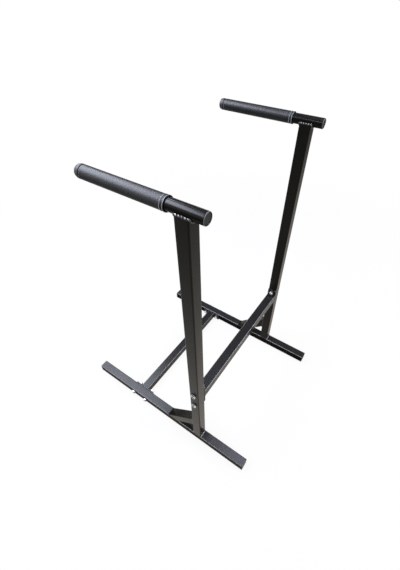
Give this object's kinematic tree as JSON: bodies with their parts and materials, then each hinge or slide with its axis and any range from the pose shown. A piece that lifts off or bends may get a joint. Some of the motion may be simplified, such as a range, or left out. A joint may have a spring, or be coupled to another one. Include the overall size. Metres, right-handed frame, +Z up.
{
  "type": "dip station",
  "caption": "Free-standing dip station: two side frames of black square tube with rubber-gripped handle bars on top, tied together by bolted crossbars.",
  "frame": {"origin": "on the floor, under the middle of the stand", "axes": "+Z up; +X across the stand, from the left side frame to the right; +Y along the feet, the way the handles point"},
  "size_m": [0.7068, 0.87, 1.2192],
  "materials": {
    "frame_steel": "black powder coat, semi-gloss",
    "weld": "black powder coat over a rippled weld bead, semi-gloss",
    "grip_rubber": "dark grey, matte, finely ribbed",
    "plastic": "black, fine grain",
    "zinc_fasteners": "bright zinc plate"
  },
  "bodies": {
    "root": {"left_foot_tube": "frame_steel", "left_foot_front_plug": "plastic", "left_foot_rear_plug": "plastic", "left_upright": "frame_steel", "left_brace": "frame_steel", "left_handle_tube": "frame_steel", "left_saddle_weld": "weld", "left_grip": "grip_rubber", "left_handle_end_cap": "plastic", "left_handle_front_plug": "plastic", "right_foot_tube": "frame_steel", "right_foot_front_plug": "plastic", "right_foot_rear_plug": "plastic", "right_upright": "frame_steel", "right_brace": "frame_steel", "right_handle_tube": "frame_steel", "right_saddle_weld": "weld", "right_grip": "grip_rubber", "right_handle_end_cap": "plastic", "right_handle_front_plug": "plastic", "front_crossbar": "frame_steel", "front_crossbar_left_plate": "frame_steel", "front_crossbar_right_plate": "frame_steel", "rear_crossbar": "frame_steel", "rear_crossbar_left_plate": "frame_steel", "rear_crossbar_right_plate": "frame_steel", "front_left_lower_bolt": "zinc_fasteners", "front_left_lower_head_washer": "zinc_fasteners", "front_left_lower_nut_washer": "zinc_fasteners", "front_left_lower_nut": "zinc_fasteners", "front_left_upper_bolt": "zinc_fasteners", "front_left_upper_head_washer": "zinc_fasteners", "front_left_upper_nut_washer": "zinc_fasteners", "front_left_upper_nut": "zinc_fasteners", "front_right_lower_bolt": "zinc_fasteners", "front_right_lower_head_washer": "zinc_fasteners", "front_right_lower_nut_washer": "zinc_fasteners", "front_right_lower_nut": "zinc_fasteners", "front_right_upper_bolt": "zinc_fasteners", "front_right_upper_head_washer": "zinc_fasteners", "front_right_upper_nut_washer": "zinc_fasteners", "front_right_upper_nut": "zinc_fasteners", "rear_left_fore_bolt": "zinc_fasteners", "rear_left_fore_head_washer": "zinc_fasteners", "rear_left_fore_nut_washer": "zinc_fasteners", "rear_left_fore_nut": "zinc_fasteners", "rear_left_aft_bolt": "zinc_fasteners", "rear_left_aft_head_washer": "zinc_fasteners", "rear_left_aft_nut_washer": "zinc_fasteners", "rear_left_aft_nut": "zinc_fasteners", "rear_right_fore_bolt": "zinc_fasteners", "rear_right_fore_head_washer": "zinc_fasteners", "rear_right_fore_nut_washer": "zinc_fasteners", "rear_right_fore_nut": "zinc_fasteners", "rear_right_aft_bolt": "zinc_fasteners", "rear_right_aft_head_washer": "zinc_fasteners", "rear_right_aft_nut_washer": "zinc_fasteners", "rear_right_aft_nut": "zinc_fasteners"}
  },
  "joints": []
}
